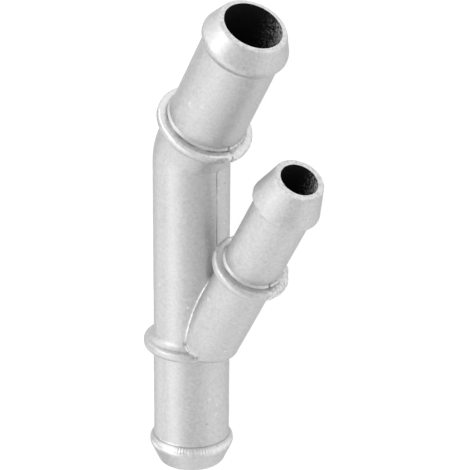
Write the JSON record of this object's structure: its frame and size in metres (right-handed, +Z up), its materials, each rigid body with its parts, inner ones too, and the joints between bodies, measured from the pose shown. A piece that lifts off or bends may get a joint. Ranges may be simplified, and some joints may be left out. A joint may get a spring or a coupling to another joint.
{
  "type": "coolant hose y adapter",
  "caption": "One-piece cast aluminium Y adapter for coolant hoses: a bent main tube with barbed ends and hose stop beads, and a smaller barbed side branch parallel to its angled end.",
  "frame": {"origin": "centre of the inlet port's end face, on the trunk's axis", "axes": "+Y along the straight trunk from the inlet port towards the bend, +X towards the side that the branch and the outlet leg lean to, +Z up, square to the parting plane that holds all three axes; the adapter lies on its hose stop beads"},
  "size_m": [0.0592, 0.1311, 0.025],
  "materials": {
    "cast_aluminium": "matt blasted casting with fine grain"
  },
  "bodies": {
    "root": {"y_adapter_casting": "cast_aluminium"}
  },
  "joints": []
}
